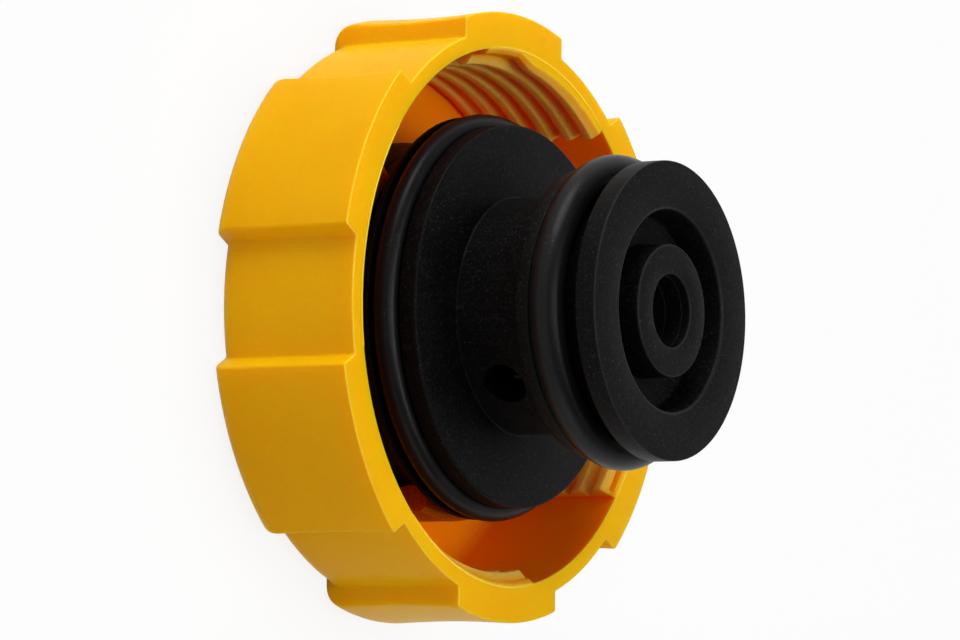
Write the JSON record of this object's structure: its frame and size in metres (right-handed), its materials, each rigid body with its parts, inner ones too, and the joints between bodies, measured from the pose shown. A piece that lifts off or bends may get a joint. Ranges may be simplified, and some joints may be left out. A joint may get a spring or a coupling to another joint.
{
  "type": "radiator cap",
  "caption": "Screw-on radiator cap with grip pads, an interrupted internal thread and a sealed valve insert that turns in it.",
  "frame": {"origin": "centre of the roof's outer face, on the cap's axis; the cap stands on its roof", "axes": "+Z along the cap's axis from the roof to the insert's tip; +X and +Y across the cap"},
  "size_m": [0.0642, 0.065, 0.0369],
  "materials": {
    "yellow_plastic": "moulded yellow plastic, slightly translucent, satin gloss",
    "black_plastic": "moulded black glass-filled plastic, satin",
    "seal_rubber": "smooth black rubber, satin",
    "spring_steel": "bright drawn spring steel",
    "brass": "turned brass"
  },
  "bodies": {
    "screw_cap": {"screw_cap": "yellow_plastic"},
    "valve_insert": {"valve_housing": "black_plastic", "housing_cover": "black_plastic", "large_o_ring": "seal_rubber", "small_o_ring": "seal_rubber", "pressure_spring": "spring_steel"},
    "pressure_valve": {"pressure_valve_plate": "black_plastic", "pressure_valve_seal": "seal_rubber", "vacuum_spring": "spring_steel"},
    "vacuum_valve": {"vacuum_valve": "brass", "vacuum_spring_retainer": "spring_steel"}
  },
  "joints": [
    {"name": "insert_turn", "type": "hinge", "parent": "screw_cap", "child": "valve_insert", "pos_m": [0, 0, 0.0025], "axis": [0, 0, 1], "continuous": true},
    {"name": "pressure_valve_slide", "type": "slide", "parent": "valve_insert", "child": "pressure_valve", "axis": [0, 0, -1], "range_m": [0, 0.002], "stiffness_N_per_m": 2900, "springref_m": -0.0001, "deforming": ["pressure_spring"]},
    {"name": "vacuum_valve_slide", "type": "slide", "parent": "pressure_valve", "child": "vacuum_valve", "axis": [0, 0, 1], "range_m": [0, 0.0015], "stiffness_N_per_m": 250, "springref_m": -0.0001, "deforming": ["vacuum_spring"]}
  ]
}
